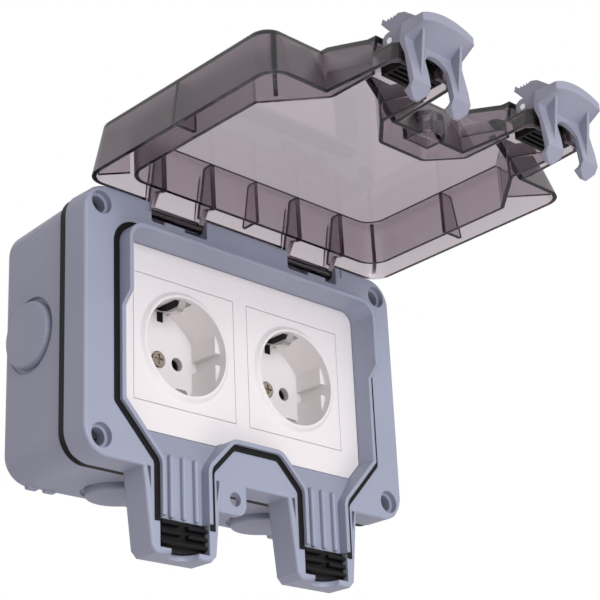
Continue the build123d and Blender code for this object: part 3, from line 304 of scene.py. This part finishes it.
def cut(piece, bm, operation):
    """Apply a Boolean with a tool that is drawn in millimetres and then thrown away."""
    to_metres(bm)
    tool = new_object("tool", bm)
    step = piece.modifiers.new("cut", "BOOLEAN")
    step.operation = operation
    step.solver = "EXACT"
    step.object = tool
    graph = bpy.context.evaluated_depsgraph_get()
    shaped = bpy.data.meshes.new_from_object(piece.evaluated_get(graph))
    piece.modifiers.clear()
    piece.data = shaped
    bpy.data.objects.remove(tool)


def add_box(bm, size, middle):
    """A block with sharp edges, by its size and its middle."""
    verts = bmesh.ops.create_cube(bm, size=1.0)["verts"]
    bmesh.ops.scale(bm, vec=size, verts=verts)
    bmesh.ops.translate(bm, vec=middle, verts=verts)
    return verts


def add_block(bm, low, high, edge, segments=3):
    """A block between two corners with rounded edges."""
    size = [b - a for a, b in zip(low, high)]
    middle = [(a + b) / 2 for a, b in zip(low, high)]
    verts = add_box(bm, size, middle)
    bevel(bm, list({e for v in verts for e in v.link_edges}), edge, segments)


def add_plate(bm, size, y, corner):
    """A block whose upright edges, which run from front to rear, are well rounded."""
    add_box(bm, size, (0, y, 0))
    upright = [e for e in bm.edges if abs(e.verts[0].co.y - e.verts[1].co.y) > 1]
    bevel(bm, upright, corner, 24)


def add_disc(bm, rear_radius, front_radius, depth, segments):
    bmesh.ops.create_cone(
        bm, cap_ends=True, segments=segments,
        radius1=rear_radius, radius2=front_radius, depth=depth,
    )


front = FRONT / MM
print("front in millimetres:", round(front, 2))


# %% [markdown]
# ## Back box
#
# The box is one moulding with smooth corners. The solid's screw pillars show as slight
# bulges outside its rear corners, so the visible shell is a merged copy of the solid,
# trimmed by a rounded, drafted envelope. The same step sinks a wider ring round each
# entry, as on the real box, and round nubs go under its rear edge.

# %% Back box shell
BOX_REAR, BOX_MOUTH = (78.0, 51.0), (80.6, 52.0)  # half the width and half the height
BOX_CORNER, BOX_REAR_EDGE = 11.0, 3.9
ENVELOPE_DEPTH, ENVELOPE_GAP = 41.0, 0.02

shell = solid_copy("back_box", "box_shell")
bm = bmesh.new()
envelope = (
    2 * BOX_MOUTH[0] + 2 * ENVELOPE_GAP, ENVELOPE_DEPTH, 2 * BOX_MOUTH[1] + 2 * ENVELOPE_GAP
)
add_plate(bm, envelope, ENVELOPE_GAP - ENVELOPE_DEPTH / 2, BOX_CORNER)
rear = [v for v in bm.verts if v.co.y > -1]
draft = (BOX_REAR[0] / BOX_MOUTH[0], 1, BOX_REAR[1] / BOX_MOUTH[1])
bmesh.ops.scale(bm, vec=draft, verts=rear)
rear_edges = [e for e in bm.edges if all(v.co.y > -1 for v in e.verts)]
bevel(bm, rear_edges, BOX_REAR_EDGE, 8)
cut(shell, bm, "INTERSECT")

# %% Cable entries
# Place of each cable entry: the middle of its floor, and the way it faces
ENTRY_DEPTH, ENTRY_X = 18.9, 37.0
SIDE_FLOOR, SIDE_Z, BASE_FLOOR = 78.216, 2.0, 50.468
RECESS_RADIUS, RECESS_DEPTH, RECESS_LIFT = 14.8, 4.0, 1.95
entries = {}
for side, sign in (("left", -1), ("right", 1)):
    entries["blanking_plug_" + side] = ((sign * SIDE_FLOOR, -ENTRY_DEPTH, SIDE_Z), (sign, 0, 0))
for row, up in (("base", -1), ("top", 1)):
    for side, sign in (("left", -1), ("right", 1)):
        place = (sign * ENTRY_X, -ENTRY_DEPTH, up * BASE_FLOOR)
        entries["blanking_plug_" + row + "_" + side] = (place, (0, 0, up))


def entry_frame(name, lift):
    """The place of an entry, with its Z axis along the way the entry faces."""
    place, facing = entries[name]
    middle = Vector(place) + Vector(facing) * lift
    turn = Vector(facing).to_track_quat("Z", "Y").to_matrix().to_4x4()
    return Matrix.Translation(middle) @ turn


for name in entries:
    bm = bmesh.new()
    add_disc(bm, RECESS_RADIUS, RECESS_RADIUS, RECESS_DEPTH, 96)
    bmesh.ops.transform(bm, matrix=entry_frame(name, RECESS_LIFT), verts=bm.verts)
    cut(shell, bm, "DIFFERENCE")
dress(shell, "grey", "grey_plastic", "back_box")

# %% Nubs under the rear edge
NUB_HALF = 2.6
bm = bmesh.new()
for x in (-66.0, -58.0, 58.0, 66.0):
    add_block(bm, (x - NUB_HALF, -4.6, -51.9), (x + NUB_HALF, -1.6, -49.8), 0.9, 4)
finish_piece(bm, "rear_nubs", "grey", "grey_plastic")


# %% [markdown]
# ## Blanking plugs
#
# A plug is a short button pressed into each entry. Its face stands clear of the wall with
# a drafted rim and a soft edge, and a dark ring shows where it meets the floor of the
# entry. A cone with a bevelled front edge gives exactly that, and one loop places all six.

# %% Plug buttons
PLUG_RADIUS, PLUG_DRAFT, PLUG_HEIGHT, PLUG_EDGE = 13.2, 0.35, 3.3, 0.9
SINK = 0.05  # how far a piece goes into the one that it sits on
for name in entries:
    bm = bmesh.new()
    add_disc(bm, PLUG_RADIUS, PLUG_RADIUS - PLUG_DRAFT, PLUG_HEIGHT, 96)
    rim = [e for e in bm.edges if all(v.co.z > 0 for v in e.verts)]
    bevel(bm, rim, PLUG_EDGE, 5)
    place = entry_frame(name, PLUG_HEIGHT / 2 - SINK)
    bmesh.ops.transform(bm, matrix=place, verts=bm.verts)
    button = name.replace("blanking_plug", "plug_button")
    finish_piece(bm, button, "grey", "grey_plastic", name)


# %% [markdown]
# ## Comb seals
#
# The rubber comb that grips each cable is a recessed block with rounded teeth: two short
# ones on each side of the middle and one that runs across below them.

# %% Comb seals in the cover's legs
LEG_X = 36.0
LEGS = (("left", -LEG_X), ("right", LEG_X))
COMB_HALF, TOOTH_HALF = 11.5, 0.85
TEETH = (  # start and end across the leg, and height
    (-10.9, -1.3, -72.1),
    (-10.9, -0.9, -75.6),
    (1.7, 11.3, -72.9),
    (1.8, 11.2, -76.2),
    (-10.9, 11.2, -79.4),
)
for side, leg in LEGS:
    bm = bmesh.new()
    low, high = (leg - COMB_HALF, front + 2.4, -81.6), (leg + COMB_HALF, front + 7.3, -70.7)
    add_block(bm, low, high, 0.3)
    for start, end, z in TEETH:
        low = (leg + start, front + 0.1, z - TOOTH_HALF)
        high = (leg + end, front + 3.0, z + TOOTH_HALF)
        add_block(bm, low, high, 0.7, 4)
    finish_piece(bm, "comb_" + side, "rubber", "black_rubber", "cable_seal_" + side)


# %% [markdown]
# ## Earth springs
#
# In each well, a narrow strip of plated metal bulges towards the plug at the top and at
# the bottom, in front of a slot. The strip is a few vertices in profile, with its
# corners rounded, extruded to its width and given its thickness. Black blocks at the
# slot's roof and rear are painted shade: they stand for the unlit slot behind the strip.

# %% Earth springs and the black blocks of painted shade behind them
SOCKET_X, SOCKET_Z = 28.9, -0.2
SPRING_START, SPRING_WIDTH, SPRING_THICKNESS, SPRING_BEND = -1.9, 3.2, 0.55, 1.3
# Depth behind the cover's front, and height above the middle of the well
PROFILE = ((22.0, 19.8), (15.6, 16.9), (10.9, 15.6), (7.9, 16.4), (6.4, 19.8))
# Painted shade blocks at the slot's roof and its rear, each as a span in x, in depth and in
# height
SHADE_LINING_BLOCKS = (
    ((-0.9, 3.8), (10.6, 22.2), (20.7, 20.95)),
    ((-0.5, 2.6), (22.2, 22.6), (15.9, 20.9)),
)
for side, middle in (("left", -SOCKET_X), ("right", SOCKET_X)):
    bm = bmesh.new()
    dark = bmesh.new()
    for up in (1, -1):
        chain = [
            bm.verts.new((middle + SPRING_START, front + depth, SOCKET_Z + up * z))
            for depth, z in PROFILE
        ]
        for pair in zip(chain, chain[1:]):
            bm.edges.new(pair)
        bevel(bm, chain[1:-1], SPRING_BEND, 4, "VERTICES")
        wire = [e for e in bm.edges if not e.link_faces]
        wide = bmesh.ops.extrude_edge_only(bm, edges=wire)
        far_verts = [g for g in wide["geom"] if isinstance(g, bmesh.types.BMVert)]
        bmesh.ops.translate(bm, vec=(SPRING_WIDTH, 0, 0), verts=far_verts)
        strip = [f for f in bm.faces if f.verts[0].co.z * up > 0 and len(f.verts) == 4]
        bmesh.ops.recalc_face_normals(bm, faces=strip)
        bmesh.ops.solidify(bm, geom=strip, thickness=SPRING_THICKNESS)
        for (x0, x1), (y0, y1), heights in SHADE_LINING_BLOCKS:
            z0, z1 = sorted(SOCKET_Z + up * z for z in heights)
            # a black block of painted shade where the slot is unlit
            add_block(dark, (middle + x0, front + y0, z0), (middle + x1, front + y1, z1), 0.05, 1)
    finish_piece(bm, "earth_spring_" + side, "steel", "steel", "earth_clips_" + side)
    # the blocks of painted shade for this well
    finish_piece(dark, "spring_slot_shade_" + side, "shade_lining_finish", "black_rubber")


# %% [markdown]
# ## Front cover
#
# The cover's visible shell is a trimmed copy of its solid too. Its square-edged channel
# ribs give way to rounded ones, and the plain tab at its rear to the real padlock tab,
# which is flush with the front and grows out of the left leg.

# %% Cover shell
SHARP = 0.01
CHANNEL_HALF = 7.8
cover = solid_copy("front_cover", "cover_shell")
bm = bmesh.new()
for side, leg in LEGS:
    low = (leg - CHANNEL_HALF, front - 0.6, -69.45)
    high = (leg + CHANNEL_HALF, front + 2.39, -46.6)
    add_block(bm, low, high, SHARP, 1)
add_block(bm, (-7.0, front + 9.3, -62.0), (7.0, front + 12.5, -53.05), SHARP, 1)
cut(cover, bm, "DIFFERENCE")
dress(cover, "grey", "grey_plastic", "front_cover")

# %% Channel ribs
RIB_HALF, RIB_SHIFT = 0.95, 0.9
bm = bmesh.new()
for side, leg in LEGS:
    for step in (-6.0, 0.0, 6.0):
        x = leg + step + RIB_SHIFT
        low, high = (x - RIB_HALF, front + 0.5, -70.2), (x + RIB_HALF, front + 3.2, -46.2)
        add_block(bm, low, high, 0.9, 5)
finish_piece(bm, "channel_ribs", "grey", "grey_plastic")

# %% Padlock tab
TAB_SIZE, TAB_MIDDLE = (13.7, 2.75, 13.1), (-12.15, front + 1.525, -58.05)
TAB_CORNER = 4.6
HOLE_X, HOLE_Z, HOLE_RADIUS = -10.8, -58.4, 2.7
bm = bmesh.new()
add_box(bm, TAB_SIZE, TAB_MIDDLE)
corner = [e for e in bm.edges if all(v.co.x > -6 and v.co.z < -64 for v in e.verts)]
bevel(bm, corner, TAB_CORNER, 12)
tab = finish_piece(bm, "padlock_tab", "grey", "grey_plastic")
bm = bmesh.new()
add_disc(bm, HOLE_RADIUS, HOLE_RADIUS, 8.0, 64)
bmesh.ops.transform(bm, matrix=Matrix.Rotation(math.radians(90), 4, "X"), verts=bm.verts)
bmesh.ops.translate(bm, vec=(HOLE_X, front + 1.5, HOLE_Z), verts=bm.verts)
cut(tab, bm, "DIFFERENCE")
print("padlock tab with its hole, faces:", len(tab.data.polygons))


# %% [markdown]
# ## Box gasket
#
# The black gasket between the box and the cover is a band that shows all round. It starts
# as a block whose upright edges are bevelled; the open ring gets its thickness inwards.

# %% Gasket band
BAND_HALF, BAND_DEPTH, BAND_WALL = (81.5, 52.7), 3.4, 3.0
bm = bmesh.new()
band_y = front + COVER_DEPTH + BAND_DEPTH / 2 - SINK
add_plate(bm, (2 * BAND_HALF[0], BAND_DEPTH, 2 * BAND_HALF[1]), band_y, BOX_CORNER)
ends = [f for f in bm.faces if abs(f.normal.y) > 0.9]
bmesh.ops.inset_region(bm, faces=ends, thickness=BAND_WALL, use_even_offset=True)
bmesh.ops.delete(bm, geom=ends, context="FACES_ONLY")
bmesh.ops.bridge_loops(bm, edges=[e for e in bm.edges if e.is_boundary])
finish_piece(bm, "gasket_band", "rubber", "black_rubber", "box_gasket")


# %% [markdown]
# ## Studio
#
# A plain white surround, one large soft light from the front left and a weaker one from
# below. The object hangs on its wall mount, so the floor lies well below it.

# %% Floor
FLOOR_Z, FLOOR_LIFT = -0.75, 0.36


def add_floor():
    """A pale floor; a little of its own light keeps it pale for the camera alone."""
    bm = bmesh.new()
    bmesh.ops.create_grid(bm, x_segments=1, y_segments=1, size=3.0)
    bmesh.ops.translate(bm, verts=bm.verts, vec=(0, 0, FLOOR_Z))
    floor = new_object("studio_floor", bm)
    paint = plastic(
        "floor_white", (0.80, 0.80, 0.80), 0.6, grain=40, strength=0.0, edge=0.1, drift=0.0
    )
    tree = paint.node_tree
    path = add(tree, "LightPath")
    lift = add(tree, "Math")
    lift.operation = "MULTIPLY"
    lift.inputs[1].default_value = FLOOR_LIFT
    shader = tree.nodes["Principled BSDF"]
    shader.inputs["Emission Color"].default_value = (0.93, 1.0, 0.98, 1)
    tree.links.new(path.outputs["Is Camera Ray"], lift.inputs[0])
    tree.links.new(lift.outputs["Value"], shader.inputs["Emission Strength"])
    floor.data.materials.append(paint)


add_floor()
print("floor at z =", FLOOR_Z)

# %% World: soft light, and plain white for the camera, in the lid and in reflections
world = bpy.data.worlds.new("studio_world")
bpy.context.scene.world = world
world.use_nodes = True
tree = world.node_tree
tree.nodes.clear()
link = tree.links.new
out = add(tree, "OutputWorld")
soft = add(tree, "Background", Color=(1.0, 0.89, 0.94, 1), Strength=0.545)
white = add(tree, "Background", Color=(1, 1, 1, 1), Strength=1.0)
path = add(tree, "LightPath")
mix = add(tree, "MixShader")
shown = path.outputs["Is Camera Ray"]
for ray in ("Is Transmission Ray", "Is Glossy Ray"):
    either = add(tree, "Math")
    either.operation = "MAXIMUM"
    link(shown, either.inputs[0])
    link(path.outputs[ray], either.inputs[1])
    shown = either.outputs["Value"]
link(shown, mix.inputs["Fac"])
link(soft.outputs["Background"], mix.inputs[1])
link(white.outputs["Background"], mix.inputs[2])
link(mix.outputs["Shader"], out.inputs["Surface"])
print("world:", world.name)


# %% Lights
def area_light(name, place, target, size, power, color):
    data = bpy.data.lights.new(name, "AREA")
    data.shape = "RECTANGLE"
    data.size, data.size_y = size
    data.energy = power
    data.color = color
    lamp = bpy.data.objects.new(name, data)
    lamp.location = place
    lamp.rotation_mode = "QUATERNION"
    lamp.rotation_quaternion = (Vector(target) - Vector(place)).to_track_quat("-Z", "Y")
    bpy.context.scene.collection.objects.link(lamp)
    lamp.visible_camera = False
    print(name, "at", place, "power", power)


area_light("key_light", (-0.25, -1.5, 0.15), (0, 0, 0), (0.9, 0.9), 14.5, (0.90, 0.96, 1.0))
area_light("fill_light", (0.0, -0.45, -0.55), (0, 0, -0.05), (0.5, 0.3), 0.9, (1.0, 0.95, 0.97))
bpy.context.scene.view_settings.view_transform = "Standard"


# %% [markdown]
# ## Camera
#
# The viewpoint was solved from the photograph: from the left and below, looking up into
# the open lid.

# %% Camera
CAMERA_PLACE = (-0.4319, FRONT - 0.4561, -0.2355)
CAMERA_RIGHT, CAMERA_UP = (0.7138, -0.6989, -0.0444), (-0.2372, -0.3010, 0.9235)
cam_data = bpy.data.cameras.new("photo_camera")
cam_data.sensor_width = 36.0
cam_data.lens = 103.04
cam_data.shift_x, cam_data.shift_y = -0.0095, 0.0032
cam_data.clip_start, cam_data.clip_end = 0.01, 50.0
camera = bpy.data.objects.new("photo_camera", cam_data)
right = Vector(CAMERA_RIGHT).normalized()
up = Vector(CAMERA_UP)
up = (up - right * up.dot(right)).normalized()
back = right.cross(up)
turn = Matrix((right, up, back)).transposed().to_4x4()
camera.matrix_world = Matrix.Translation(CAMERA_PLACE) @ turn
bpy.context.scene.collection.objects.link(camera)
bpy.context.scene.camera = camera
print("camera at", [round(v, 3) for v in camera.matrix_world.translation])


# %% [markdown]
# ## Finish

# %% Finish
bpy.context.view_layer.update()
